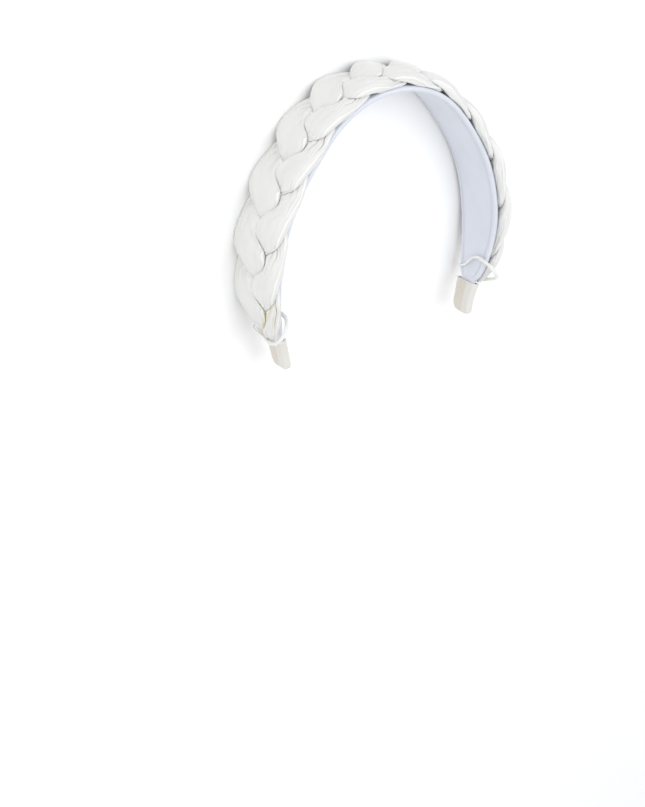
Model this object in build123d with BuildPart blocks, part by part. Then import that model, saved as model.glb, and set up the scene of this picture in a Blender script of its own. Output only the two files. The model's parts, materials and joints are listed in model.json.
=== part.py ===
"""Braided headband, lying on its back edge: the wearer's front faces up, the crown points to +Y, the two ends to -Y.

Eight pieces: a flat covered band bent to an arch, three padded cloth strands plaited over it,
a narrow rolled wrap round each end of the plait and a flat sleeve over each end of the band.
"""
import math
import os

from build123d import *

os.makedirs("parts", exist_ok=True)

# Driving sizes, in mm and degrees

# inner path of the arch, from the crown down to one end; the other half is its mirror image,
# and a negative radius and turn bend it back outwards, as the ends do to lie behind the ears
ARCH = [
    {"radius": 57.0, "turn": 49.0},
    {"radius": 190.0, "turn": 7.0},
    {"radius": 101.0, "turn": 53.0},
    {"radius": -105.0, "turn": -11.5},
]
BAND_THICKNESS = 3.0
BAND_ROUND_BACK = 5.5       # corner rounding at the ends, at the back and at the front
BAND_ROUND_FRONT = 1.5
PLAIT_WIDTH = 43.0
PLAIT_HEIGHT = 11.8         # from the inner face of the band to the crest of the plait
FOLD_PITCH = 31.0           # from one fold of the plait to the next on the same side, along the arms
CROWN_EXTRA_FOLDS = 0.55    # how much of a fold more the tighter crown takes up on each side
CROWN_REACH = 45.0          # how far from the crown the plait is tighter
PLAIT_PHASE = 45.0          # where the first strand stands at the crown
MIDDLE_FORWARD = 0.14       # how far the line where the folds meet stands towards the front, of the width
FRONT_DROOP = 0.36          # how far its front edge hangs over towards the band, of its height over the band
REST_SHARE = 0.42          # from the middle of the band down to the floor, of the plait's width: the folds lie flat there
SLEEVE_LENGTH = 19.0
SLEEVE_WALL = 1.0
SLEEVE_EDGE = 0.8           # rounding of its long edges
PIECE_GAP = 0.5             # between the strands, and between strands and band
PARTING = 0.75              # how much deeper the partings between the strands are cut
SLEEVE_GAP = 0.25
WRAP_RADIUS = 1.1
WRAP_RISE = 18.0            # how much further up the wrap sits at the front edge
WRAP_BEND = 3.0             # how late it starts to rise on its way to that edge
WRAP_TURN = 35.0            # how far its highest place lies round that edge towards the head
WRAP_STAND = 3.0            # how far it stands off the plait at that edge
WRAP_FIT = 0.97             # how closely it holds the plait, of the plait's width
WRAP_POWER = 5.5            # how square it runs round the plait's corners
STRAND_SIDES = 14
STRAND_STATIONS = 130
WRAP_SIDES = 6
WRAP_STATIONS = 36

# width and height of the plait as shares of the two sizes above, and width of the band as a share of the plait's;
# along is 0 at the crown and 1 at the end
PLAIT_SHAPE = [
    {"along": 0.00, "width": 0.80, "height": 0.91, "band": 0.82},
    {"along": 0.25, "width": 0.89, "height": 0.95, "band": 0.82},
    {"along": 0.50, "width": 0.98, "height": 1.00, "band": 0.79},
    {"along": 0.66, "width": 1.00, "height": 1.00, "band": 0.76},
    {"along": 0.76, "width": 0.97, "height": 0.97, "band": 0.73},
    {"along": 0.84, "width": 0.87, "height": 0.91, "band": 0.66},
    {"along": 0.91, "width": 0.71, "height": 0.83, "band": 0.56},
    {"along": 0.97, "width": 0.53, "height": 0.70, "band": 0.43},
    {"along": 1.00, "width": 0.32, "height": 0.56, "band": 0.27},
]

# shares that place and shape one strand inside the plait
SWING = 0.50                # side swing of a strand's middle, of half the plait's width
STRAND_SPREAD = 0.60        # half width of a strand, of half the plait's width
WEAVE = 0.22                # rise and fall of a strand's middle, of the height over the band
STRAND_RISE = 0.34          # half thickness of a strand, of the height over the band
EDGE_PUFF = 0.26            # extra thickness where a strand turns at the edge
FOLD_COUNT = 7              # lengthwise folds round a strand
FOLD_DEPTH = 0.07           # their depth, of the strand's own radius
ROUND_POWER = 2.4           # how square a strand's own shape is, 2 is an ellipse
CORNER_POWER = 7.0          # how sharply a strand meets its neighbours
LEAST_RADIUS = 0.35         # of a strand in mm, where its neighbours press on it most

# Lengths that follow from them

HALF_LENGTH = sum(arc["radius"] * math.radians(arc["turn"]) for arc in ARCH)
PLAIT_HALF = HALF_LENGTH - SLEEVE_LENGTH - 2 * PIECE_GAP
REST_DEPTH = PLAIT_WIDTH * REST_SHARE
SLEEVE_GROW = SLEEVE_GAP + SLEEVE_WALL


def arch_place(s):
    """Point on the inner path and its outward direction, s from the crown, below 0 on the wearer's right."""
    left = abs(s)
    x = y = heading = 0.0
    for number, arc in enumerate(ARCH):
        length = arc["radius"] * math.radians(arc["turn"])
        step = left if number == len(ARCH) - 1 else min(left, length)
        turned = heading + step / arc["radius"]
        x += arc["radius"] * (math.sin(turned) - math.sin(heading))
        y -= arc["radius"] * (math.cos(heading) - math.cos(turned))
        heading = turned
        left -= step
        if left <= 0:
            break
    side = -1.0 if s < 0 else 1.0
    return x * side, y, math.sin(heading) * side, math.cos(heading)


# the arch is set so that its whole length, crown to sleeve tips, has its middle at y = 0
END_TURN = math.radians(sum(arc["turn"] for arc in ARCH))
TIP_DEPTH = (-arch_place(HALF_LENGTH)[1] + SLEEVE_GROW * math.sin(END_TURN)
             - (BAND_THICKNESS + SLEEVE_GROW) * math.cos(END_TURN))
CROWN_Y = (TIP_DEPTH - PLAIT_HEIGHT * PLAIT_SHAPE[0]["height"]) / 2


def place(s, z, h):
    """Point at s along the arch, z across the band towards the front and h outwards from its inner face."""
    x, y, nx, ny = arch_place(s)
    return (x + nx * h, CROWN_Y + y + ny * h, REST_DEPTH + z)


def from_table(column, along):
    """Value of a column of PLAIT_SHAPE at a share of the way along, joined by smooth curves."""
    rows = PLAIT_SHAPE
    along = min(max(along, rows[0]["along"]), rows[-1]["along"])
    i = max(k for k in range(len(rows) - 1) if rows[k]["along"] <= along)

    def slope(k):
        low, high = max(k - 1, 0), min(k + 1, len(rows) - 1)
        if low == 0 and k == 0:
            return 0.0
        return (rows[high][column] - rows[low][column]) / (rows[high]["along"] - rows[low]["along"])

    span = rows[i + 1]["along"] - rows[i]["along"]
    t = (along - rows[i]["along"]) / span
    a, b = rows[i][column], rows[i + 1][column]
    return ((2 * t**3 - 3 * t**2 + 1) * a + (t**3 - 2 * t**2 + t) * span * slope(i)
            + (3 * t**2 - 2 * t**3) * b + (t**3 - t**2) * span * slope(i + 1))


def plait_size(s):
    """Width and height of the plait at s."""
    along = abs(s) / PLAIT_HALF
    return PLAIT_WIDTH * from_table("width", along), PLAIT_HEIGHT * from_table("height", along)


def folds_to(s):
    """Number of folds of the plait between the crown and s."""
    return s / FOLD_PITCH + CROWN_EXTRA_FOLDS * math.tanh(s / CROWN_REACH)


def strand_middle(s, turn):
    """Middle of a strand in its cross-section and its angle in the plait; strands pass over from edge to middle."""
    width, height = plait_size(s)
    over_band = height - BAND_THICKNESS - PIECE_GAP
    angle = math.radians(PLAIT_PHASE + turn - 120 * folds_to(s))
    z = SWING * (width / 2 - PIECE_GAP / 2) * math.sin(angle)
    h = BAND_THICKNESS + PIECE_GAP + over_band / 2 - WEAVE * over_band * math.sin(2 * angle)
    return z, h, angle


def strand_section(s, turn, others):
    """Outline of a strand at s: its own rounded shape, cut by the band below and half way to the other strands."""
    width, height = plait_size(s)
    over_band = height - BAND_THICKNESS - PIECE_GAP
    half = STRAND_SPREAD * width / 2
    z0, h0, angle = strand_middle(s, turn)
    even_rise = STRAND_RISE * over_band
    rise = even_rise * (1 + EDGE_PUFF * math.sin(angle) ** 2)
    neighbours = [strand_middle(s, other)[:2] for other in others]
    points = []
    for i in range(STRAND_SIDES):
        phi = 2 * math.pi * (i + 0.5) / STRAND_SIDES
        c, sn = math.cos(phi), math.sin(phi)
        limits = [((abs(c) / half) ** ROUND_POWER + (abs(sn) / rise) ** ROUND_POWER) ** (-1 / ROUND_POWER)]
        side = width / 2 - z0 if c > 0 else width / 2 + z0
        limits.append(side / max(abs(c), 1e-6))
        if sn < 0:
            limits.append((h0 - BAND_THICKNESS - PIECE_GAP) / -sn)
        else:
            limits.append((height - h0) / max(sn, 1e-6))
        for zj, hj in neighbours:
            dz, dh = (z0 - zj) / half, (h0 - hj) / even_rise
            towards = c / half * dz + sn / even_rise * dh
            if towards < -1e-9:
                limits.append(max((dz * dz + dh * dh) / (-2 * towards) - PARTING, LEAST_RADIUS))
        reach = sum(limit ** -CORNER_POWER for limit in limits) ** (-1 / CORNER_POWER)
        reach *= 1 - FOLD_DEPTH * (0.5 - 0.5 * math.cos(FOLD_COUNT * phi))
        reach = max(reach - PIECE_GAP / 2, LEAST_RADIUS)
        z = z0 + c * reach
        z += MIDDLE_FORWARD * width * max(1 - (2 * z / width) ** 2, 0)
        h = h0 + sn * reach - FRONT_DROOP * over_band * max(2 * z / width, 0) ** 4
        points.append(place(s, max(z, -REST_DEPTH), max(h, BAND_THICKNESS + PIECE_GAP)))
    return points


def faceted(rings, closed=False):
    """Solid from rings of points, joined by triangles; open rows of rings get flat fans at both ends."""
    faces = []

    def triangle(a, b, c):
        faces.append(Face(Wire.make_polygon([Vector(*a), Vector(*b), Vector(*c)], close=True)))

    count = len(rings[0])
    pairs = list(zip(rings, rings[1:])) + ([(rings[-1], rings[0])] if closed else [])
    for low, high in pairs:
        for i in range(count):
            j = (i + 1) % count
            if i % 2:
                triangle(low[i], low[j], high[j])
                triangle(low[i], high[j], high[i])
            else:
                triangle(low[i], low[j], high[i])
                triangle(low[j], high[j], high[i])
    if not closed:
        for ring, order in ((rings[0], -1), (rings[-1], 1)):
            middle = tuple(sum(p[axis] for p in ring) / count for axis in range(3))
            for i in range(count):
                j = (i + 1) % count
                triangle(middle, *((ring[i], ring[j]) if order > 0 else (ring[j], ring[i])))
    return Solid(Shell(faces))


def strand(turn, others):
    at = [PLAIT_HALF * (2 * i / STRAND_STATIONS - 1) for i in range(STRAND_STATIONS + 1)]
    return faceted([strand_section(s, turn, others) for s in at])


def wrap(side):
    """Rolled strip round the end of the plait, low on the outer face and higher up at the front edge."""
    low = PLAIT_HALF - WRAP_RADIUS / 2
    middle = Vector(*place(side * (low - WRAP_RISE / 2), 0, plait_size(low)[1] / 2))

    def centre(psi):
        s = low - WRAP_RISE * (0.5 + 0.5 * math.cos(psi + math.radians(WRAP_TURN))) ** WRAP_BEND
        width, height = plait_size(s)
        half = WRAP_FIT * width / 2 + PIECE_GAP + WRAP_RADIUS
        rise = height / 2 + PIECE_GAP + WRAP_RADIUS
        c, sn = math.cos(psi), math.sin(psi)
        reach = ((abs(c) / half) ** WRAP_POWER + (abs(sn) / rise) ** WRAP_POWER) ** (-1 / WRAP_POWER)
        return Vector(*place(side * s, c * reach + WRAP_STAND * max(c, 0) ** 2, height / 2 + sn * reach))

    rings = []
    for i in range(WRAP_STATIONS):
        psi = 2 * math.pi * i / WRAP_STATIONS
        here = centre(psi)
        along = (centre(psi + 0.05) - centre(psi - 0.05)).normalized()
        out = here - middle
        out = (out - along * out.dot(along)).normalized()
        across = along.cross(out)
        rings.append([tuple(here + out * (WRAP_RADIUS * math.cos(2 * math.pi * k / WRAP_SIDES))
                            + across * (WRAP_RADIUS * math.sin(2 * math.pi * k / WRAP_SIDES)))
                      for k in range(WRAP_SIDES)])
    return faceted(rings, closed=True)


def strip_line(side, offset):
    """Arcs of one half of the inner path, moved outwards by offset."""
    run = 0.0
    for arc in ARCH:
        length = arc["radius"] * math.radians(arc["turn"])
        ThreePointArc(*[place(side * at, 0, offset)[:2] for at in (run, run + length / 2, run + length)])
        run += length


def band_half_width(s):
    return PLAIT_WIDTH / 2 * from_table("band", abs(s) / PLAIT_HALF)


BAND_END_HALF = band_half_width(PLAIT_HALF)

# The band: an arch strip, narrowed towards both ends by a profile seen from the side

with BuildPart() as band:
    with BuildSketch(Plane.XY.offset(REST_DEPTH - PLAIT_WIDTH / 2)):
        with BuildLine():
            for hand in (-1, 1):
                strip_line(hand, 0.0)
                strip_line(hand, BAND_THICKNESS)
                Line(place(hand * HALF_LENGTH, 0, 0)[:2], place(hand * HALF_LENGTH, 0, BAND_THICKNESS)[:2])
        make_face()
    extrude(amount=PLAIT_WIDTH)
    with BuildSketch(Plane.YZ):
        rows = [row["along"] for row in PLAIT_SHAPE if row["along"] >= 0.25]
        edge = [(place(a * PLAIT_HALF, 0, BAND_THICKNESS / 2)[1], band_half_width(a * PLAIT_HALF)) for a in rows]
        top = place(0, 0, PLAIT_HEIGHT)[1]
        foot = place(HALF_LENGTH, 0, 0)[1] - BAND_THICKNESS
        with BuildLine():
            for hand in (-1, 1):
                curve = Spline(*[(y, REST_DEPTH + hand * w) for y, w in edge], tangents=[(-1, 0), (-1, -hand * 0.1)])
                Line((top, REST_DEPTH + hand * edge[0][1]), curve @ 0)
                Line(curve @ 1, (foot, REST_DEPTH + hand * edge[-1][1]))
            Line((top, REST_DEPTH - edge[0][1]), (top, REST_DEPTH + edge[0][1]))
            Line((foot, REST_DEPTH - edge[-1][1]), (foot, REST_DEPTH + edge[-1][1]))
        make_face()
    extrude(amount=PLAIT_WIDTH * 4, both=True, mode=Mode.INTERSECT)
    for hand in (-1, 1):
        for z, radius in ((-BAND_END_HALF, BAND_ROUND_BACK), (BAND_END_HALF, BAND_ROUND_FRONT)):
            corner = Vector(*place(hand * HALF_LENGTH, z, BAND_THICKNESS / 2))
            fillet(band.edges().sort_by_distance(corner)[0], radius=radius)
band.part.label = "band"
export_step(band.part, "parts/band.step")

# The three strands of the plait

TURNS = (0.0, 120.0, 240.0)

with BuildPart() as strand_a:
    add(strand(TURNS[0], (TURNS[1], TURNS[2])))
strand_a.part.label = "strand_a"
export_step(strand_a.part, "parts/strand_a.step")

with BuildPart() as strand_b:
    add(strand(TURNS[1], (TURNS[0], TURNS[2])))
strand_b.part.label = "strand_b"
export_step(strand_b.part, "parts/strand_b.step")

with BuildPart() as strand_c:
    add(strand(TURNS[2], (TURNS[0], TURNS[1])))
strand_c.part.label = "strand_c"
export_step(strand_c.part, "parts/strand_c.step")

# The wraps round the two ends of the plait

with BuildPart() as wrap_right:
    add(wrap(-1))
wrap_right.part.label = "wrap_right"
export_step(wrap_right.part, "parts/wrap_right.step")

with BuildPart() as wrap_left:
    add(wrap(1))
wrap_left.part.label = "wrap_left"
export_step(wrap_left.part, "parts/wrap_left.step")

# The flat sleeves over the two ends of the band


def end_block(side, grow, start):
    """The end of the band made larger by grow all round, from start to just past the end."""
    first, last = HALF_LENGTH - start, HALF_LENGTH + grow
    half = BAND_END_HALF + grow
    with BuildPart() as block:
        with BuildSketch(Plane.XY.offset(REST_DEPTH - half)):
            with BuildLine():
                for h in (-grow, BAND_THICKNESS + grow):
                    ThreePointArc(*[place(side * s, 0, h)[:2] for s in (first, (first + last) / 2, last)])
                for s in (first, last):
                    Line(place(side * s, 0, -grow)[:2], place(side * s, 0, BAND_THICKNESS + grow)[:2])
            make_face()
        extrude(amount=2 * half)
        for z, radius in ((-half, BAND_ROUND_BACK + grow), (half, BAND_ROUND_FRONT + grow)):
            corner = Vector(*place(side * last, z, BAND_THICKNESS / 2))
            fillet(block.edges().sort_by_distance(corner)[0], radius=radius)
    return block.part


def sleeve(side):
    """The end made larger, with rounded long edges, less the room for the band's end."""
    with BuildPart() as cover:
        add(end_block(side, SLEEVE_GROW, SLEEVE_LENGTH))
        long_edges = [cover.edges().sort_by_distance(Vector(*place(side * (HALF_LENGTH - SLEEVE_LENGTH / 2), z, h)))[0]
                      for z in (-BAND_END_HALF - SLEEVE_GROW, BAND_END_HALF + SLEEVE_GROW)
                      for h in (-SLEEVE_GROW, BAND_THICKNESS + SLEEVE_GROW)]
        fillet(long_edges, radius=SLEEVE_EDGE)
        add(end_block(side, SLEEVE_GAP, SLEEVE_LENGTH + 1), mode=Mode.SUBTRACT)
    return cover.part


with BuildPart() as sleeve_right:
    add(sleeve(-1))
sleeve_right.part.label = "sleeve_right"
export_step(sleeve_right.part, "parts/sleeve_right.step")

with BuildPart() as sleeve_left:
    add(sleeve(1))
sleeve_left.part.label = "sleeve_left"
export_step(sleeve_left.part, "parts/sleeve_left.step")
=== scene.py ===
# %% [markdown]
# A braided headband: a thin flat band bent to an arch, a wide flat plait of three padded cloth strands over
# it, a rolled wrap round each end of the plait and a satin sleeve over each end of the band. The part was
# built in CAD first. It is loaded here as a fixed frame, and each soft piece is dressed where its plain
# solid lies. The headband lies on its back edge, its front faces up and its crown points to +Y.

import json
import math

import bpy
import numpy as np
from mathutils import Matrix, Vector
from mathutils.bvhtree import BVHTree


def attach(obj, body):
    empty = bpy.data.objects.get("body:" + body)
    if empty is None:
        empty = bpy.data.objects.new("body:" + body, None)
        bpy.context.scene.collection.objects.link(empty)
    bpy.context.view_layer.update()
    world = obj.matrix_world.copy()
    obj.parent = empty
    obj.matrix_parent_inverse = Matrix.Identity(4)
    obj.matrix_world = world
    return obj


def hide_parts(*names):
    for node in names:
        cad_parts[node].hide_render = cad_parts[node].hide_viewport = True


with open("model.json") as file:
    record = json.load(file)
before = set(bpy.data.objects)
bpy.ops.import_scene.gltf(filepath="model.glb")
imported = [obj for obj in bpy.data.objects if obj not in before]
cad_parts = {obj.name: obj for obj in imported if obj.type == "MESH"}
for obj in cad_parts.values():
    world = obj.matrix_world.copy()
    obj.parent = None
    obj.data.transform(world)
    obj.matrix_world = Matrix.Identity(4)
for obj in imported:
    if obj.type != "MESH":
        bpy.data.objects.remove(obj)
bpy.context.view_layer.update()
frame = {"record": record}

# %% [markdown]
# Everything follows the inner path of the arch: four tangent arcs from the crown down to one end, mirrored
# for the other. The last arc has a negative radius and bends the end back outwards. The sizes are the real
# ones that the solids were made from, in metres. The record's mount is the point of the inner face at the
# crown, so the path hangs from it and nothing has to be fitted by eye.

# %% Sizes of the headband
MM = 0.001
HEAD_SEAT = frame["record"]["mounts"][0]["pos_m"]
ARCH = [
    {"radius": 57 * MM, "turn": math.radians(49)},
    {"radius": 190 * MM, "turn": math.radians(7)},
    {"radius": 101 * MM, "turn": math.radians(53)},
    {"radius": -105 * MM, "turn": math.radians(-11.5)},
]
HALF_LENGTH = sum(arc["radius"] * arc["turn"] for arc in ARCH)
BAND_THICKNESS = 3 * MM
SLEEVE_LENGTH = 19 * MM
PIECE_GAP = 0.5 * MM
PLAIT_WIDTH = 43 * MM
PLAIT_HEIGHT = 11.8 * MM
PLAIT_HALF = HALF_LENGTH - SLEEVE_LENGTH - 2 * PIECE_GAP
FOLD_PITCH = 31 * MM
CROWN_EXTRA_FOLDS = 0.55
CROWN_REACH = 45 * MM
PLAIT_PHASE = math.radians(45)
MIDDLE_FORWARD = 0.14
FRONT_DROOP = 0.36
PLAIT_SHAPE = np.array([
    # along, width, height, width of the band
    (0.00, 0.80, 0.91, 0.82),
    (0.25, 0.89, 0.95, 0.82),
    (0.50, 0.98, 1.00, 0.79),
    (0.66, 1.00, 1.00, 0.76),
    (0.76, 0.97, 0.97, 0.73),
    (0.84, 0.87, 0.91, 0.66),
    (0.91, 0.71, 0.83, 0.56),
    (0.97, 0.53, 0.70, 0.43),
    (1.00, 0.32, 0.56, 0.27),
])
print("half of the inner path, mm:", round(HALF_LENGTH / MM, 1))

# %% [markdown]
# A point of the headband is named by three numbers: how far along the arch it lies, how far to the front,
# and how far out from the inner face. Two small functions turn these into places. The widths and heights
# come from the table above, joined by smooth curves, because a plait swells and tapers without corners.

# %% Places on the arch


def arch_place(s):
    """Inner path and its outward directions; s runs from the crown, below 0 on the right side as worn."""
    left = np.abs(s)
    x, y, heading = np.zeros_like(left), np.zeros_like(left), np.zeros_like(left)
    for number, arc in enumerate(ARCH):
        length = arc["radius"] * arc["turn"]
        step = left if number == len(ARCH) - 1 else np.minimum(left, length)
        turned = heading + step / arc["radius"]
        x = x + arc["radius"] * (np.sin(turned) - np.sin(heading))
        y = y - arc["radius"] * (np.cos(heading) - np.cos(turned))
        heading, left = turned, left - step
    side = np.where(s < 0, -1.0, 1.0)
    return x * side, y, np.sin(heading) * side, np.cos(heading)


def place(s, z, h):
    """Points at s along the arch, z towards the front as worn and h outwards from the inner face."""
    s, z, h = np.broadcast_arrays(s, z, h)
    x, y, out_x, out_y = arch_place(s)
    return np.stack([HEAD_SEAT[0] + x + out_x * h, HEAD_SEAT[1] + y + out_y * h, HEAD_SEAT[2] + z], axis=-1)


def from_table(column, along):
    """Values of a column of PLAIT_SHAPE, joined by smooth curves."""
    rows, at = PLAIT_SHAPE[:, column], PLAIT_SHAPE[:, 0]
    along = np.clip(along, 0, 1)
    i = np.clip(np.searchsorted(at, along, side="right") - 1, 0, len(at) - 2)
    slope = np.zeros(len(at))
    slope[1:-1] = (rows[2:] - rows[:-2]) / (at[2:] - at[:-2])
    slope[-1] = (rows[-1] - rows[-2]) / (at[-1] - at[-2])
    span = at[i + 1] - at[i]
    t = (along - at[i]) / span
    return ((2 * t**3 - 3 * t**2 + 1) * rows[i] + (t**3 - 2 * t**2 + t) * span * slope[i]
            + (3 * t**2 - 2 * t**3) * rows[i + 1] + (t**3 - t**2) * span * slope[i + 1])


def plait_size(s):
    """Width and height of the plait."""
    along = np.abs(s) / PLAIT_HALF
    return PLAIT_WIDTH * from_table(1, along), PLAIT_HEIGHT * from_table(2, along)


# %% [markdown]
# The rule of a flat plait of three: each strand swings from edge to edge, a third of a turn behind the one
# before, and rises over its neighbour on its way from an edge to the middle. A strand's outline is its own
# rounded shape, kept above the band and cut half way to the other two strands, so that the three fill the
# plait like pressed cloth. The solids are held further back from that half way, so they show wider
# partings. The line where the folds meet stands a little forward, and the front edge hangs over towards the
# band.

# %% Shape of the strands
STRANDS = {"a": 0.0, "b": math.radians(120), "c": math.radians(240)}
SWING, SPREAD = 0.50, 0.60
WEAVE, RISE, EDGE_PUFF = 0.22, 0.34, 0.26
ROUND_POWER, CORNER_POWER = 2.2, 12.0
AIR = 0.16 * MM             # between strands, and between strands and band
FLOOR = -HEAD_SEAT[2]


def strand_middle(s, turn):
    """Middle of a strand in its cross-section, and its angle in the plait."""
    width, height = plait_size(s)
    over_band = height - BAND_THICKNESS - AIR
    folds = s / FOLD_PITCH + CROWN_EXTRA_FOLDS * np.tanh(s / CROWN_REACH)
    angle = PLAIT_PHASE + turn - 2 * math.pi / 3 * folds
    z = SWING * (width - AIR) / 2 * np.sin(angle)
    h = BAND_THICKNESS + AIR + over_band / 2 - WEAVE * over_band * np.sin(2 * angle)
    return z, h, angle


def strand_outline(s, turn, phi):
    """z and h of a strand's outline for directions phi from its middle, and how firmly it is pressed."""
    width, height = plait_size(s)
    over_band = height - BAND_THICKNESS - AIR
    half, even = SPREAD * width / 2, RISE * over_band
    z0, h0, angle = strand_middle(s, turn)
    rise = even * (1 + EDGE_PUFF * np.sin(angle) ** 2)
    c, sn = np.cos(phi), np.sin(phi)
    own = ((np.abs(c) / half) ** ROUND_POWER + (np.abs(sn) / rise) ** ROUND_POWER) ** (-1 / ROUND_POWER)
    limits = [own, np.where(c > 0, width / 2 - z0, width / 2 + z0) / np.maximum(np.abs(c), 1e-6)]
    limits.append(np.where(sn < 0, h0 - BAND_THICKNESS - AIR, height - h0) / np.maximum(np.abs(sn), 1e-6))
    pressed = np.where(sn < -0.3, 1.0, 0.0) * np.ones_like(own)
    for other in STRANDS.values():
        if other == turn:
            continue
        zj, hj, _ = strand_middle(s, other)
        dz, dh = (z0 - zj) / half, (h0 - hj) / even
        towards = np.minimum(c / half * dz + sn / even * dh, -1e-6)
        away = c / half * dz + sn / even * dh >= -1e-6
        limits.append(np.where(away, 1.0, np.maximum((dz**2 + dh**2) / (-2 * towards), 0.3 * MM)))
        pressed = np.maximum(pressed, np.clip((own / limits[-1] - 0.75) / 0.25, 0, 1))
    reach = sum(limit ** -CORNER_POWER for limit in limits) ** (-1 / CORNER_POWER)
    reach = np.maximum(reach - AIR / 2, 0.35 * MM)
    z = z0 + c * reach
    z = z + MIDDLE_FORWARD * width * np.maximum(1 - (2 * z / width) ** 2, 0)
    h = h0 + sn * reach - FRONT_DROOP * over_band * np.maximum(2 * z / width, 0) ** 4
    return np.maximum(z, FLOOR), np.maximum(h, BAND_THICKNESS + AIR), pressed


def strand_grid(s, turn, around):
    """Points of a strand's surface, one even row for each s, and how pressed each point is."""
    fine = 720
    phi = np.linspace(0, 2 * math.pi, fine + 1)[None, :]
    traced = strand_outline(s[:, None], turn, phi)
    step = np.hypot(np.diff(traced[0]), np.diff(traced[1]))
    rows = []
    for i in range(len(s)):
        row = []
        for first in (0, fine // 2):
            run = np.concatenate([[0], np.cumsum(step[i, first:first + fine // 2])])
            goal = np.linspace(0, run[-1], around // 2, endpoint=False)
            row.append([np.interp(goal, run, values[i, first:first + fine // 2 + 1]) for values in traced])
        rows.append(np.concatenate(row, axis=1))
    rows = np.array(rows)
    return place(s[:, None], rows[:, 0], rows[:, 1]), rows[:, 2]


# %% [markdown]
# Strands, band, wraps and sleeves are all tubes, so one helper makes them from a grid of points. It joins
# the rows to faces, closes the ends, lays a UV map in metres along and round the tube, and stores named
# values such as crease or hem at the points, which the materials read later.

# %% Mesh from a grid of points


def normals_of(points):
    """Outward directions of a closed tube's grid."""
    along = np.gradient(points, axis=0)
    across = np.roll(points, -1, axis=1) - np.roll(points, 1, axis=1)
    normal = np.cross(across, along)
    normal /= np.linalg.norm(normal, axis=2, keepdims=True) + 1e-12
    outward = points - points.mean(axis=1, keepdims=True)
    return normal * np.sign((normal * outward).sum())


def tube_object(name, points, values=None, closed=False, capped=True):
    """Tube from a grid of points, with a UV map in metres and named values at the points.

    A closed tube joins its last row to its first; an open one is capped at both ends, or only at the last."""
    count, around = points.shape[:2]
    rows = count if closed else count - 1
    i, j = np.meshgrid(np.arange(rows), np.arange(around), indexing="ij")
    k, n = (j + 1) % around, (i + 1) % count
    quads = np.stack([i * around + j, i * around + k, n * around + k, n * around + j], axis=-1)
    faces = quads.reshape(-1, 4).tolist()
    if not closed:
        faces.append([(count - 1) * around + m for m in range(around)])
        if capped:
            faces.append(list(range(around))[::-1])
    mesh = bpy.data.meshes.new(name)
    mesh.from_pydata(points.reshape(-1, 3).tolist(), [], faces)
    middle = points.mean(axis=1)
    run = np.concatenate([[0], np.cumsum(np.linalg.norm(np.diff(middle, axis=0, append=middle[:1]), axis=1))])
    girth = np.linalg.norm(np.roll(points, -1, axis=1) - points, axis=2).sum(axis=1).mean()
    uv = np.stack([np.stack([j, j + 1, j + 1, j], -1) / around * girth,
                   np.stack([run[i], run[i], run[i + 1], run[i + 1]], -1)], axis=-1).reshape(-1, 2)
    uv = np.concatenate([uv, np.zeros((len(mesh.loops) - len(uv), 2))])
    mesh.uv_layers.new(name="cloth").data.foreach_set("uv", uv.astype(np.float32).ravel())
    for label, value in (values or {}).items():
        layer = mesh.attributes.new(label, "FLOAT", "POINT")
        layer.data.foreach_set("value", np.broadcast_to(value, (count, around)).astype(np.float32).ravel())
    piece = bpy.data.objects.new(name, mesh)
    bpy.context.scene.collection.objects.link(piece)
    bpy.ops.object.select_all(action="DESELECT")
    piece.select_set(True)
    bpy.context.view_layer.objects.active = piece
    bpy.ops.object.mode_set(mode="EDIT")
    bpy.ops.mesh.select_all(action="SELECT")
    bpy.ops.mesh.normals_make_consistent(inside=False)
    bpy.ops.object.mode_set(mode="OBJECT")
    bpy.ops.object.shade_smooth()
    return piece


# %% [markdown]
# A padded strand is a tube of cloth, cut wider than the filling needs. On the real plait the spare width
# lies in soft lengthwise folds where nothing presses on it. Blender's cloth finds such folds by itself: the
# tube is told that it was cut wider than it stands, gets a little pressure inside, and is held where its
# neighbours press on it. It is simulated at forty times its size, where the solver's forces suit it, and no
# point may move more than the cap.

# %% Cloth folds by simulation
COARSE_STATIONS, COARSE_AROUND = 440, 52
SIM_SCALE = 40.0
MOVE_CAP = 1.3 * MM
WIDER_CUT = 1.14
INNER_PRESSURE = 6.0
SIM_FRAMES = 20


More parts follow.
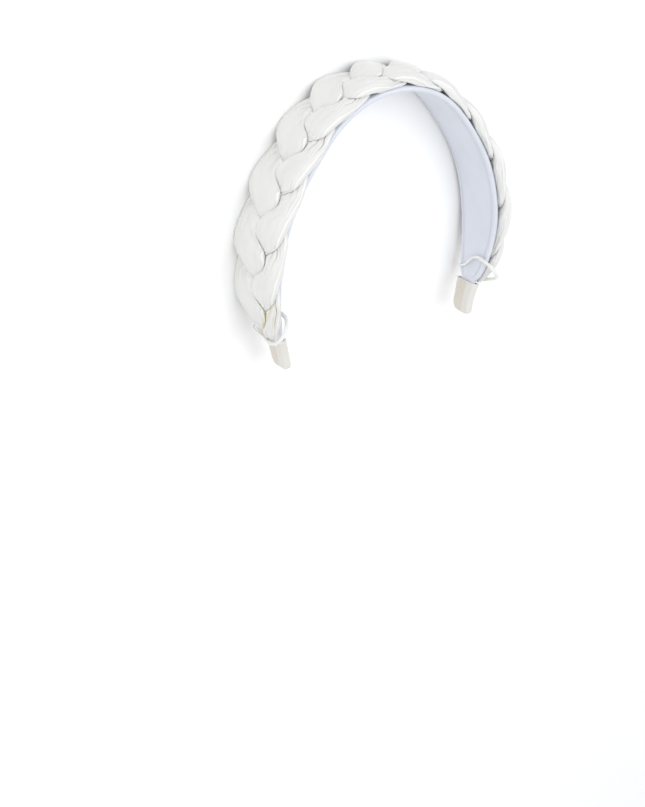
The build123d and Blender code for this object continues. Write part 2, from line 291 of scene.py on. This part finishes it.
def simulate(name, points, pressed):
    """Points of a tube of cloth after it has swollen and folded; pressed points are held."""
    count, around = points.shape[:2]
    piece = tube_object(name, points * SIM_SCALE)
    hold = piece.vertex_groups.new(name="hold")
    weight = np.clip(pressed, 0, 1).copy()
    weight[[0, 1, -2, -1]] = 1.0
    for index, value in enumerate(weight.ravel()):
        if value > 0.02:
            hold.add([index], float(value), "REPLACE")
    middle = points.mean(axis=1, keepdims=True)
    full = middle + (points - middle) * WIDER_CUT
    piece.shape_key_add(name="as it stands")
    cut = piece.shape_key_add(name="as it was cut")
    cut.data.foreach_set("co", (full * SIM_SCALE).astype(np.float32).ravel())
    cut.value = 0.0
    cloth = piece.modifiers.new("cloth", "CLOTH")
    cloth.settings.quality = 5
    cloth.settings.mass = 0.25
    cloth.settings.tension_stiffness = 18
    cloth.settings.compression_stiffness = 18
    cloth.settings.shear_stiffness = 6
    cloth.settings.bending_stiffness = 0.6
    cloth.settings.air_damping = 4
    cloth.settings.use_pressure = True
    cloth.settings.uniform_pressure_force = INNER_PRESSURE
    cloth.settings.vertex_group_mass = "hold"
    cloth.settings.pin_stiffness = 1.0
    cloth.settings.rest_shape_key = cut
    cloth.settings.effector_weights.gravity = 0
    cloth.point_cache.frame_start = 1
    cloth.point_cache.frame_end = SIM_FRAMES
    for frame_number in range(1, SIM_FRAMES + 1):
        bpy.context.scene.frame_set(frame_number)
    shown = piece.evaluated_get(bpy.context.evaluated_depsgraph_get())
    moved = np.empty(len(shown.data.vertices) * 3, np.float32)
    shown.data.vertices.foreach_get("co", moved)
    moved = moved.reshape(count, around, 3) / SIM_SCALE
    bpy.data.objects.remove(piece)
    bpy.context.scene.frame_set(1)
    shift = moved - points
    size = np.linalg.norm(shift, axis=2, keepdims=True)
    shift *= np.minimum(1, MOVE_CAP / np.maximum(size, 1e-9))
    return points + shift, float(size.max())


def twice(grid):
    """A grid with a new row and a new column between each two, on smooth curves through the old points."""
    ends = np.concatenate([2 * grid[:1] - grid[1:2], grid, 2 * grid[-1:] - grid[-2:-1]])
    between = (9 * (ends[1:-2] + ends[2:-1]) - ends[:-3] - ends[3:]) / 16
    rows = np.empty((2 * len(grid) - 1, *grid.shape[1:]))
    rows[::2], rows[1::2] = grid, between
    ahead, further, behind = np.roll(rows, -1, 1), np.roll(rows, -2, 1), np.roll(rows, 1, 1)
    columns = np.empty((len(rows), 2 * rows.shape[1], *grid.shape[2:]))
    columns[:, ::2], columns[:, 1::2] = rows, (9 * (rows + ahead) - behind - further) / 16
    return columns


# %% [markdown]
# What the simulation can't find at this size is laid on afterwards as a relief. Each strand is a folded
# strip with a pressed hem along both edges. The gathers are drawn together where the strand dives under its
# neighbour, so they run along it, deepen towards the dive and fade on the broad of the fold.

# %% Hems and gathers
STRAND_GIRTH = 52 * MM
HEM_RISE, GROOVE_DEPTH = 0.26 * MM, 0.16 * MM


def wander(rng, s, length, size):
    """A smooth random line along s."""
    waves = ((1, .6), (.47, .3), (.23, .1))
    wave = sum(np.sin(2 * math.pi * s / (length * f) + rng.uniform(0, 6.3)) * g for f, g in waves)
    return size * wave


def gathers(s, turn, around, seed, lines, narrow, broad, size):
    """Relief of the gathers at each point, in metres: so many lines, their widths as shares of the girth."""
    rng = np.random.default_rng(seed)
    _, _, angle = strand_middle(s, turn)
    hidden = 0.5 + 0.5 * np.sin(2 * angle)
    end = np.clip((np.abs(s) - PLAIT_HALF + 30 * MM) / (26 * MM), 0, 1)
    front = np.clip(np.sin(angle), 0, 1)
    u = (np.arange(around) / around)[None, :]
    total = np.zeros((len(s), around))
    for n in range(lines):
        middle = (n + rng.uniform(-.35, .35)) / lines + wander(rng, s, 0.07, 0.010)
        wide = rng.uniform(narrow, broad)
        strength = 0.10 + 0.42 * hidden**1.6 + 0.12 * front + 0.35 * end
        strength = strength * np.clip(0.55 + wander(rng, s, 0.030, 1.0), 0, 1)
        d = (u - middle[:, None] + 0.5) % 1.0 - 0.5
        dent = -np.exp(-np.abs(d / wide) ** 1.5) + 0.5 * np.exp(-((np.abs(d) - 1.8 * wide) / wide) ** 2)
        total += strength[:, None] * dent
    return total * size


def hems(around, from_edge, wide):
    """1 on a line at this distance from both edges of a strand's outer face, fading to 0 beside it."""
    u = np.arange(around) / around
    near = np.minimum(np.where(u < 0.5, u, 1), np.where(u < 0.5, 0.5 - u, 1)) * STRAND_GIRTH
    return np.exp(-((near - from_edge) / wide) ** 2)[None, :]


# %% [markdown]
# Near each end of the plait a narrow rolled strip goes round everything. Its line is settled before the
# strands are finished, because the cloth is drawn in under it: the strip lies low on the outer face and is
# drawn up at the front edge. The dent is a smooth push towards the middle of the plait along that line.

# %% Line of the wraps and the dents under them
WRAP_RADIUS = 1.1 * MM
WRAP_RISE = 15 * MM
WRAP_BEND = 3.0
WRAP_BACK_RISE = 5 * MM
WRAP_AIR = 0.25 * MM
WRAP_TURN = math.radians(50)
WRAP_STAND = 3.5 * MM
WRAP_DENT = 1.0 * MM


def wrap_line(psi):
    """How far from the crown a wrap lies, by the angle round the plait: 0 is the front edge."""
    s = PLAIT_HALF - WRAP_RADIUS / 2 - WRAP_RISE * (0.5 + 0.5 * np.cos(psi + WRAP_TURN)) ** WRAP_BEND
    return s - WRAP_BACK_RISE * (0.5 - 0.5 * np.cos(psi)) ** WRAP_BEND


def in_band_frame(points, s):
    """z and h of a strand's points, and the outward direction of the arch at each s."""
    base = place(s, 0 * s, 0 * s)
    out = (place(s, 0 * s, 0 * s + MM) - base) / MM
    return points[:, :, 2] - base[:, None, 2], ((points - base[:, None]) * out[:, None]).sum(axis=2), out


def tied(points, s):
    """A strand pressed in where the wraps go round the plait."""
    z, h, out = in_band_frame(points, s)
    h = h - plait_size(s)[1][:, None] / 2
    psi = np.arctan2(h, z)
    away = np.abs(s)[:, None] - wrap_line(psi)
    push = WRAP_DENT * np.exp(-((away / (1.7 * MM)) ** 2)) * (1 - 0.8 * np.maximum(np.cos(psi), 0) ** 2)
    push = np.minimum(push, 0.3 * np.hypot(z, h))[:, :, None]
    c, sn = np.cos(psi)[:, :, None], np.sin(psi)[:, :, None]
    return points - push * (c * np.array([0, 0, 1]) + sn * out[:, None])


# %% [markdown]
# Pressed cloth touches, but two pieces never share the same room, and a printed copy would fuse where they
# do. So the finished surfaces are moved apart: a point that stands inside a neighbour, or too near to it,
# goes back along the neighbour's own outward direction. Both sides give way, and this is repeated, until
# hardly anything crosses. The band and the floor are flat in the arch's own directions, so a plain lift is
# enough for them.

# %% Strands kept apart
CLEAR = 0.14 * MM            # least room kept between the strands, and between strands and band
APART_PASSES = 8
APART_SHARE = 0.55           # how much of the missing room each side gives in a pass
APART_REACH = 1.2 * MM


def clear_of_band(points, s):
    """A strand's points, lifted where they would sink into the band or the floor."""
    z, h, out = in_band_frame(points, s)
    half = PLAIT_WIDTH / 2 * from_table(3, np.abs(s) / PLAIT_HALF)[:, None]
    sunk = np.where(np.abs(z) < half + 0.3 * MM, np.clip(BAND_THICKNESS + CLEAR - h, 0, None), 0)
    points = points + sunk[:, :, None] * out[:, None]
    points[:, :, 2] = np.maximum(points[:, :, 2], 0.0)
    return points


def apart(grids, s):
    """The strands' points, each moved half way out of the other strands where their cloth would cross."""
    count, around = grids[0].shape[:2]
    start = (np.arange(count - 1)[:, None] * around + np.arange(around)[None, :]).ravel()
    right = (np.arange(count - 1)[:, None] * around + (np.arange(around)[None, :] + 1) % around).ravel()
    quads = np.stack([start, right, right + around, start + around], axis=1).tolist()
    for _ in range(APART_PASSES):
        trees = [BVHTree.FromPolygons(grid.reshape(-1, 3).tolist(), quads) for grid in grids]
        normals = [normals_of(grid).reshape(-1, 3) for grid in grids]
        shifts = [np.zeros((count * around, 3)) for _ in grids]
        for mine, grid in enumerate(grids):
            for other, tree in enumerate(trees):
                if other == mine:
                    continue
                for index, point in enumerate(grid.reshape(-1, 3).tolist()):
                    spot, _, face, _ = tree.find_nearest(point, APART_REACH)
                    if spot is None:
                        continue
                    normal = normals[other][face]
                    depth = CLEAR - float((np.array(point) - np.array(spot)) @ normal)
                    if depth > 0:
                        shifts[mine][index] += APART_SHARE * depth * normal
        grids = [clear_of_band(grid + shift.reshape(grid.shape), s) for grid, shift in zip(grids, shifts)]
    return grids


# %% [markdown]
# The steps are now put together for one strand and run three times: fold, refine, gather, hem, tie in, lift
# clear. The refined grid has twice the rows and columns, so that the hems are real shape and not only
# paint. Then the three are moved apart together, and only the finished grids become meshes.

# %% Three strands


def shape_strand(letter, turn, seed):
    """Points of a strand with its gathers and hems, and the named values at the points."""
    s = np.linspace(-PLAIT_HALF, PLAIT_HALF, COARSE_STATIONS)
    points, pressed = strand_grid(s, turn, COARSE_AROUND)
    moved = 0.0
    points, moved = simulate(f"cloth_{letter}", points, pressed)
    points, pressed = twice(points), np.clip(twice(pressed), 0, 1)
    s = np.linspace(-PLAIT_HALF, PLAIT_HALF, len(points))
    around = points.shape[1]
    relief = gathers(s, turn, around, seed, 18, 0.008, 0.015, 0.85 * MM)
    relief += gathers(s, turn, around, seed + 40, 8, 0.022, 0.036, 0.9 * MM)
    hem = hems(around, 1.7 * MM, 0.55 * MM) * (1 - 0.5 * pressed)
    groove = hems(around, 2.9 * MM, 0.4 * MM) * (1 - pressed)
    relief = relief * (1 - 0.7 * hem) + HEM_RISE * hem - GROOVE_DEPTH * groove
    points = tied(points + normals_of(points) * relief[:, :, None], s)
    points = clear_of_band(points, s)
    end = np.clip((np.abs(s) - PLAIT_HALF + 34 * MM) / (30 * MM), 0, 1)[:, None]
    outer = np.where(np.arange(around) < around // 2, 1.0, 0.0)[None, :]
    gathered = np.maximum(np.clip(-relief / (0.7 * MM), 0, 1), pressed) * outer
    # In the material, hem makes the hems lighter as a painted highlight, and dips in crease darker as painted
    # shade.
    values = {"crease": relief / MM, "hem": hem, "end": end, "pressed": pressed, "gathered": gathered}
    print("strand", letter, "largest simulated move, mm", round(moved / MM, 2),
          "kept to", round(MOVE_CAP / MM, 1))
    return points, values


def make_strand(letter, points, values):
    piece = tube_object(f"padded_strand_{letter}", points, values)
    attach(piece, "root")
    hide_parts(f"strand_{letter}")
    print(piece.name, "faces", len(piece.data.polygons))
    return piece


shaped = [shape_strand(letter, turn, seed) for seed, (letter, turn) in enumerate(STRANDS.items(), 11)]
grids = apart([points for points, _ in shaped], np.linspace(-PLAIT_HALF, PLAIT_HALF, len(shaped[0][0])))
strands = [make_strand(letter, grid, values) for letter, grid, (_, values) in zip(STRANDS, grids, shaped)]

# %% [markdown]
# The band is a thin springy strip in a cloth cover. The cover turns softly over both long edges, is a
# little padded on its inner side, has a lining sewn in a few millimetres from each edge, and puckers
# slightly at the turned edges. It keeps the width, the place and the rounded end corners of the solid band.

# %% Band cover
BACK_CORNER, FRONT_CORNER = 5.5 * MM, 1.5 * MM
PUCKER_LENGTHS = (3.1, 4.3, 6.7, 9.1)


def band_half_width(s):
    return PLAIT_WIDTH / 2 * from_table(3, np.abs(s) / PLAIT_HALF)


def round_section(half_z, low_h, high_h, corner, around):
    """Outline of a flat bar with round edges, from the middle of its front edge: z and h for each s."""
    flat, bend = 2 * (half_z - corner), math.pi * (high_h - low_h) / 2
    run = np.arange(around) / around * (2 * flat + 2 * bend)
    middle, radius = (low_h + high_h) / 2, (high_h - low_h) / 2
    z, h = np.zeros(np.broadcast(run, half_z).shape), np.zeros(np.broadcast(run, half_z).shape)
    parts = [(bend / 2, 0), (flat, 1), (bend, 2), (flat, 3), (bend / 2, 4)]
    start = 0.0
    for length, kind in parts:
        t = np.clip((run - start) / length, 0, 1)
        inside = (run >= start) & (run < start + length + 1e-12)
        if kind == 1:
            zz, hh = half_z - corner - t * flat, high_h + 0 * t
        elif kind == 3:
            zz, hh = -half_z + corner + t * flat, low_h + 0 * t
        else:
            turns = {0: t * math.pi / 2, 2: math.pi / 2 + t * math.pi, 4: 1.5 * math.pi + t * math.pi / 2}
            turn = turns[kind]
            side = -1 if kind == 2 else 1
            zz, hh = side * (half_z - corner) + corner * np.cos(turn), middle + radius * np.sin(turn)
        z, h = np.where(inside, zz, z), np.where(inside, hh, h)
        start = start + length
    return z, h


def end_corner(s, radius):
    """How far a rounded corner of the band's end has come in at s."""
    into = np.clip((np.abs(s) - (HALF_LENGTH - 0.2 * MM - radius)) / radius, 0, 0.999)
    return radius - radius * np.sqrt(1 - into**2)


def make_band():
    rng = np.random.default_rng(5)
    s = np.linspace(-HALF_LENGTH + 0.4 * MM, HALF_LENGTH - 0.4 * MM, 760)
    half = band_half_width(np.minimum(np.abs(s), PLAIT_HALF))[:, None] - 0.05 * MM
    z, h = round_section(half, 0.0, BAND_THICKNESS - 0.05 * MM, 1.4 * MM, 96)
    low = -half + end_corner(s, BACK_CORNER)[:, None]
    high = half - end_corner(s, FRONT_CORNER)[:, None]
    z = low + (z + half) / (2 * half) * (high - low)
    edge = half - np.abs(z)
    free = np.clip((HALF_LENGTH - SLEEVE_LENGTH - 1.5 * MM - np.abs(s)) / (4 * MM), 0, 1)[:, None]
    inner = np.clip(1 - h / (1.2 * MM), 0, 1) * free
    pucker = np.zeros_like(z)
    for side in (-1, 1):
        waves = [np.sin(2 * math.pi * s / (length * MM) + rng.uniform(0, 6.3)) for length in PUCKER_LENGTHS]
        wave = sum(waves) / 3
        pucker += np.where(z * side > 0, wave[:, None], 0) * np.exp(-edge / (2.5 * MM))
    lining = 0.45 * MM * (1 - np.clip(np.abs(z) / (half - 3 * MM), 0, 1) ** 6)
    lining = lining - 0.22 * MM * np.exp(-((edge - 3 * MM) / (0.35 * MM)) ** 2)
    h = h - inner * (lining + 0.10 * MM * pucker)
    z = z + np.sign(z) * 0.07 * MM * pucker * free * np.exp(-edge / (1 * MM))
    points = place(s[:, None], z, h)
    # The sewn line is darkened through the crease value, as painted shade in its groove.
    sewing = -inner * np.exp(-((edge - 3 * MM) / (0.4 * MM)) ** 2)
    values = {"crease": sewing, "hem": 0, "end": 0, "pressed": 0, "gathered": 0}
    piece = tube_object("band_cover", points, values)
    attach(piece, "root")
    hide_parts("band")
    print("band cover faces", len(piece.data.polygons))
    return piece


band = make_band()

# %% [markdown]
# Round each end of the plait lies a narrow rolled strip that gathers the strands, and shows as a thin loop
# at the front edge. Its centre line is found much as a strip is laid by hand: rays from well outside run
# inwards until they meet cloth, and the line is then smoothed, because a tight strip bridges the hollows.
# The tube has a slight twist, so it catches light in slanting ridges.

# %% Wraps


def trees_of(pieces):
    depsgraph = bpy.context.evaluated_depsgraph_get()
    return [BVHTree.FromObject(piece, depsgraph) for piece in pieces]


def wrap_centre(side, trees, count):
    """Centre line of a wrap, pulled in from outside until it lies against the plait and the band."""
    psi = 2 * math.pi * np.arange(count) / count
    s = wrap_line(psi)
    c, sn = np.cos(psi), np.sin(psi)
    far, middle = 40 * MM, plait_size(s)[1] / 2
    start = place(side * s, c * far, middle + sn * far)
    inward = place(side * s, 0 * c, middle) - start
    reach = np.zeros(count)
    for n in range(count):
        hits = [tree.ray_cast(Vector(start[n]), Vector(inward[n]).normalized(), far)[3] for tree in trees]
        reach[n] = far - min([hit for hit in hits if hit is not None], default=far)
    around = np.arange(-count // 40, count // 40 + 1)
    reach = np.max([np.roll(reach, k) for k in around], axis=0)
    reach = np.mean([np.roll(reach, k) for k in around], axis=0) + WRAP_RADIUS + WRAP_AIR
    return place(side * s, c * reach + WRAP_STAND * np.maximum(c, 0) ** 2, middle + sn * reach)


def make_wrap(side, name, seed, trees):
    rng = np.random.default_rng(seed)
    rings, around = 300, 40
    path = wrap_centre(side, trees, 720)
    path = np.vstack([path, path[:1]])
    run = np.concatenate([[0], np.cumsum(np.linalg.norm(np.diff(path, axis=0), axis=1))])
    even = np.arange(rings) / rings * run[-1]
    centre = np.stack([np.interp(even, run, path[:, k]) for k in range(3)], axis=1)
    psi = np.interp(even, run, np.linspace(0, 2 * math.pi, len(path)))
    for _ in range(120):
        centre = (np.roll(centre, 1, 0) + 2 * centre + np.roll(centre, -1, 0)) / 4
    along = np.roll(centre, -1, 0) - np.roll(centre, 1, 0)
    along /= np.linalg.norm(along, axis=1, keepdims=True)
    out = centre - centre.mean(axis=0)
    out -= along * (out * along).sum(axis=1, keepdims=True)
    out /= np.linalg.norm(out, axis=1, keepdims=True)
    across = np.cross(along, out)
    turn = 2 * math.pi * np.arange(around)[None, :] / around
    length = run[-1] * np.arange(rings)[:, None] / rings
    twist = 2 * math.pi * 5 * np.arange(rings)[:, None] / rings
    ridges = 0.10 * MM * np.cos(2 * (turn + twist)) + 0.05 * MM * np.cos(5 * (turn + twist) + 1.3)
    swell = 0.06 * MM * np.sin(2 * math.pi * length / run[-1] * 3 + rng.uniform(0, 6.3))
    thin = 0.55 + 0.45 * np.clip(0.5 + 0.9 * np.cos(psi), 0, 1)[:, None]
    radius = (WRAP_RADIUS - 0.08 * MM + ridges + swell) * thin
    points = centre[:, None] + radius[:, :, None] * (out[:, None] * np.cos(turn)[:, :, None]
                                                    + across[:, None] * np.sin(turn)[:, :, None])
    # The hem value lightens the whole wrap a little as a painted highlight, and the grooves of the twist
    # darken through crease as painted shade.
    values = {"crease": ridges / MM * 3, "hem": 0.4, "end": 0.5, "pressed": 0, "gathered": 0}
    piece = tube_object(f"rolled_{name}", points, values, closed=True)
    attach(piece, "root")
    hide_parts(name)
    print(piece.name, "length round, mm", round(run[-1] / MM, 1))
    return piece


inside = trees_of([*strands, band])
wraps = [make_wrap(-1, "wrap_right", 21, inside), make_wrap(1, "wrap_left", 22, inside)]

# %% [markdown]
# The last of the band goes into a flat satin sleeve, sewn shut at the bottom with its rear corner well
# rounded. It is a sheet with a real thickness: one open tube with a closed bottom, to which Solidify gives
# the wall. The mouth is a little wider and has a small rolled hem, and a few soft pleats run down from it.

# %% Sleeves
SLEEVE_GROW = 1.25 * MM
SLEEVE_WALL = 0.9 * MM
BAND_END_HALF = float(band_half_width(np.array([PLAIT_HALF]))[0])


def make_sleeve(side, name, seed):
    rng = np.random.default_rng(seed)
    first, last = HALF_LENGTH - SLEEVE_LENGTH, HALF_LENGTH + SLEEVE_GROW
    t = np.concatenate([np.linspace(0, 0.8, 46), 1 - 0.2 * np.cos(np.linspace(0, math.pi / 2, 26))[1:]])
    s = first + (last - first) * t
    wide = BAND_END_HALF + SLEEVE_GROW
    low_r, high_r = 6.75 * MM, 2.75 * MM

    def corner(radius):
        into = np.clip((s - (last - radius)) / radius, 0, 0.9995)
        return radius - radius * np.sqrt(1 - into**2)

    z_low, z_high = -wide + corner(low_r), wide - corner(high_r)
    flare = 0.25 * MM * np.exp(-((s - first - 0.7 * MM) / (0.7 * MM)) ** 2)
    mouth = 0.9 * MM * np.exp(-(((s - first) / (6 * MM)) ** 2))
    z_middle, z_half = (z_low + z_high) / 2, (z_high - z_low) / 2 + flare + mouth
    closing = np.sqrt(1 - np.clip((s - last + 2.2 * MM) / (2.2 * MM), 0, 0.995) ** 2)
    thick = (BAND_THICKNESS / 2 + SLEEVE_GROW) * closing + flare
    around = 96
    turn = 2 * math.pi * np.arange(around)[None, :] / around
    c, sn = np.cos(turn), np.sin(turn)
    power = 4.5
    reach = ((np.abs(c) / z_half[:, None]) ** power + (np.abs(sn) / thick[:, None]) ** power) ** (-1 / power)
    pleat = np.zeros((len(s), around))
    for n in range(13):
        middle = (n + rng.uniform(-.3, .3)) * 2 * math.pi / 13
        d = (turn - middle + math.pi) % (2 * math.pi) - math.pi
        fade = np.exp(-((s - first) / (rng.uniform(5, 12) * MM)) ** 1.4)[:, None]
        fold = -np.exp(-(d / 0.11) ** 2) + 0.4 * np.exp(-((np.abs(d) - 0.2) / 0.12) ** 2)
        pleat += 0.16 * MM * fade * fold
    z, h = z_middle[:, None] + c * (reach + pleat), BAND_THICKNESS / 2 + sn * (reach + pleat)
    points = place(side * s[:, None], z, h)
    # Painted light: the front side of the sleeve is made lighter, stored under hem, which the material
    # lightens; dips of the pleats darken through crease as painted shade.
    lit_front_side = np.clip(0.5 + (z - 0.25 * wide) / (1.5 * MM), 0, 1)
    values = {"crease": pleat / MM, "hem": lit_front_side, "end": 0, "pressed": 0, "gathered": 0}
    piece = tube_object(name, points, values, capped=False)
    wall = piece.modifiers.new("wall", "SOLIDIFY")
    wall.thickness, wall.offset = SLEEVE_WALL, -1
    bpy.ops.object.modifier_apply(modifier=wall.name)
    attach(piece, "root")
    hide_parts(name.replace("satin_", ""))
    print(piece.name, "faces", len(piece.data.polygons))
    return piece


sleeves = [make_sleeve(-1, "satin_sleeve_right", 31), make_sleeve(1, "satin_sleeve_left", 32)]

# %% [markdown]
# All the cloth is satin-faced: threads run along each strip, so the material has fine streaks stretched
# along the UV map, a soft sheen and a broad, not sharp, gloss. Thin cloth lets some light through, and the
# cloth pressed together in the partings is painted lighter as painted light, so the partings stay light.
# The creases are painted darker as painted shade, the hems whiter as a painted highlight, and the creases
# of the gathered ends take a warm painted shade. The band's white cover is painted bluish and darker as
# painted cool shade, and the front side of each sleeve is painted lighter as painted light.

# %% Materials


def satin(name, colour, crease_shade_colour, painted_light_colour, warm_shade_colour, roughness, through):
    material = bpy.data.materials.new(name)
    material.use_nodes = True
    nodes, links = material.node_tree.nodes, material.node_tree.links
    shader = nodes["Principled BSDF"]
    shader.inputs["Roughness"].default_value = roughness
    shader.inputs["Sheen Weight"].default_value = 0.35
    shader.inputs["Sheen Roughness"].default_value = 0.4
    shader.inputs["Subsurface Weight"].default_value = through
    shader.inputs["Subsurface Radius"].default_value = (1.0, 1.0, 0.95)
    shader.inputs["Subsurface Scale"].default_value = 3.2 * MM

    def node(kind, **sockets):
        made = nodes.new(kind)
        for key, value in sockets.items():
            made.inputs[key].default_value = value
        return made

    def amount(label, low, high, gain):
        """An attribute of the piece, stretched to 0 to gain between low and high."""
        read = nodes.new("ShaderNodeAttribute")
        read.attribute_name = label
        fit = nodes.new("ShaderNodeMapRange")
        fit.inputs["From Min"].default_value, fit.inputs["From Max"].default_value = low, high
        fit.inputs["To Min"].default_value, fit.inputs["To Max"].default_value = 0.0, gain
        links.new(read.outputs["Fac"], fit.inputs["Value"])
        return fit.outputs["Result"]

    def mixed(below, above, factor):
        mix = nodes.new("ShaderNodeMix")
        mix.data_type = "RGBA"
        links.new(factor, mix.inputs["Factor"])
        for socket, value in ((mix.inputs["A"], below), (mix.inputs["B"], above)):
            if isinstance(value, tuple):
                socket.default_value = (*value, 1)
            else:
                links.new(value, socket)
        return mix.outputs["Result"]

    def times(first, second):
        made = nodes.new("ShaderNodeMath")
        made.operation = "MULTIPLY"
        links.new(first, made.inputs[0])
        links.new(second, made.inputs[1])
        return made.outputs["Value"]

    uv = nodes.new("ShaderNodeUVMap")
    uv.uv_map = "cloth"

    def streaks(across, along, detail):
        stretch = node("ShaderNodeMapping", Scale=(across, along, 1))
        links.new(uv.outputs["UV"], stretch.inputs["Vector"])
        noise = node("ShaderNodeTexNoise", Scale=1.0, Detail=detail)
        links.new(stretch.outputs["Vector"], noise.inputs["Vector"])
        return noise.outputs["Fac"]

    threads, slubs, clouds = streaks(2600, 160, 2.0), streaks(520, 26, 3.0), streaks(90, 45, 2.0)
    cloud = nodes.new("ShaderNodeMapRange")
    cloud.inputs["From Min"].default_value, cloud.inputs["From Max"].default_value = 0.35, 0.7
    links.new(clouds, cloud.inputs["Value"])
    cloudy = mixed(colour, tuple(v * 0.955 for v in colour), cloud.outputs["Result"])
    # Painted shade: the cloth is darkened towards the crease colour where its relief dips into creases and
    # grooves.
    crease_shaded = mixed(cloudy, crease_shade_colour, amount("crease", 0.0, -0.6, 0.75))
    # Painted highlight: the hems of the strands, and the front side of each sleeve, are lightened towards the
    # lighter colour.
    highlight_painted = mixed(crease_shaded, painted_light_colour, amount("hem", 0.25, 1.0, 0.8))
    # Painted light: the cloth pressed together in the partings is lightened, standing in for light that
    # reaches into them.
    hidden = mixed(highlight_painted, painted_light_colour, amount("pressed", 0.7, 1.0, 0.4))
    # Painted warm shade in the gathered creases near the ends of the plait.
    warm_shade = times(amount("gathered", 0.3, 0.9, 1.0), amount("end", 0.1, 0.7, 1.0))
    links.new(mixed(hidden, warm_shade_colour, warm_shade), shader.inputs["Base Color"])
    height = nodes.new("ShaderNodeMath")
    height.operation = "MULTIPLY_ADD"
    height.inputs[1].default_value = 0.35
    links.new(threads, height.inputs[0])
    links.new(slubs, height.inputs[2])
    bump = node("ShaderNodeBump", Strength=0.35, Distance=0.12 * MM)
    links.new(height.outputs["Value"], bump.inputs["Height"])
    links.new(bump.outputs["Normal"], shader.inputs["Normal"])
    return material


# Braid: the crease colour is painted shade, the lighter colour a painted highlight on the hems and painted
# light in the partings, the warm colour painted warm shade.
braid_satin = satin("braid_satin", (0.76, 0.76, 0.742), (0.665, 0.665, 0.625), (0.90, 0.90, 0.895),
                    (0.66, 0.58, 0.30), 0.45, 0.5)
# The band's cover is white cloth; its colours here are bluish and darker as painted cool shade.
band_satin = satin("band_satin", (0.69, 0.72, 0.79), (0.57, 0.60, 0.68), (0.78, 0.81, 0.87),
                   (0.6, 0.6, 0.6), 0.4, 0.15)
# Sleeve: tan satin, with its pleats painted darker as painted shade and its front side painted lighter as
# painted light.
sleeve_satin = satin("sleeve_satin", (0.675, 0.635, 0.56), (0.56, 0.50, 0.40), (0.735, 0.725, 0.69),
                     (0.6, 0.5, 0.3), 0.45, 0.2)
for pieces, material in ((strands + wraps, braid_satin), ([band], band_satin), (sleeves, sleeve_satin)):
    for piece in pieces:
        piece.data.materials.append(material)
print("materials:", [m.name for m in (braid_satin, band_satin, sleeve_satin)])

# %% [markdown]
# The camera looks at the headband from the front, a little from above and from one side. Its turn, rise,
# lens and distance were fitted to the outline of the arch. It is aimed beside the arch's middle and isn't
# shifted, so that other views can use it as it is.

# %% Camera
CAMERA_TURN, CAMERA_RISE, CAMERA_ROLL = math.radians(37.39), math.radians(20.51), math.radians(0.07)
CAMERA_DISTANCE = 0.85
LENS = 67.02
AIM_RIGHT, AIM_UP = -0.02925, -0.10572
BELOW_CROWN = 0.075
arch_middle = Vector(HEAD_SEAT) - Vector((0, BELOW_CROWN, 0))


def camera_axes(back, roll):
    """Right and up directions of a camera whose back points at the viewer and whose top is at the crown."""
    right = Vector((0, 1, 0)).cross(back).normalized()
    up = back.cross(right)
    return math.cos(roll) * right + math.sin(roll) * up, math.cos(roll) * up - math.sin(roll) * right


back = Vector((-math.sin(CAMERA_TURN) * math.cos(CAMERA_RISE), math.sin(CAMERA_RISE),
               math.cos(CAMERA_TURN) * math.cos(CAMERA_RISE)))
right, up = camera_axes(back, 0.0)
eye = arch_middle + back * CAMERA_DISTANCE
aim = arch_middle + right * AIM_RIGHT + up * AIM_UP
back = (eye - aim).normalized()
right, up = camera_axes(back, CAMERA_ROLL)
camera = bpy.data.objects.new("camera", bpy.data.cameras.new("camera"))
camera.data.lens = LENS
camera.matrix_world = Matrix.Translation(eye) @ Matrix((right, up, back)).transposed().to_4x4()
bpy.context.scene.collection.objects.link(camera)
bpy.context.scene.camera = camera

# %% [markdown]
# The picture is high-key: a white ground, broad soft light from the front and above, hardly any shadow. A
# large soft lamp over the headband lights the faces turned to its front, a weaker one comes from the side,
# and a bright even surround fills the rest.

# %% Floor and light
bpy.ops.mesh.primitive_plane_add(size=6, location=(0, 0, 0))
floor = bpy.context.object
floor.name = "floor"
paper = bpy.data.materials.new("paper")
paper.use_nodes = True
paper.node_tree.nodes["Principled BSDF"].inputs["Base Color"].default_value = (0.96, 0.96, 0.96, 1)
paper.node_tree.nodes["Principled BSDF"].inputs["Roughness"].default_value = 0.9
floor.data.materials.append(paper)

world = bpy.data.worlds.new("room")
world.use_nodes = True
world.node_tree.nodes["Background"].inputs["Color"].default_value = (1, 1, 1, 1)
world.node_tree.nodes["Background"].inputs["Strength"].default_value = 0.72
bpy.context.scene.world = world


def soft_light(name, place, size, power, colour):
    lamp = bpy.data.lights.new(name, "AREA")
    lamp.size, lamp.energy, lamp.color = size, power, colour
    light = bpy.data.objects.new(name, lamp)
    light.location = place
    light.rotation_euler = (arch_middle - Vector(place)).to_track_quat("-Z", "Y").to_euler()
    bpy.context.scene.collection.objects.link(light)


soft_light("window", (0.2, 0.45, 1.75), 1.5, 16, (0.945, 0.965, 1.0))
soft_light("fill", (-1.3, 0.3, 0.75), 1.2, 4.5, (0.99, 0.99, 0.98))
bpy.context.scene.view_settings.view_transform = "Standard"
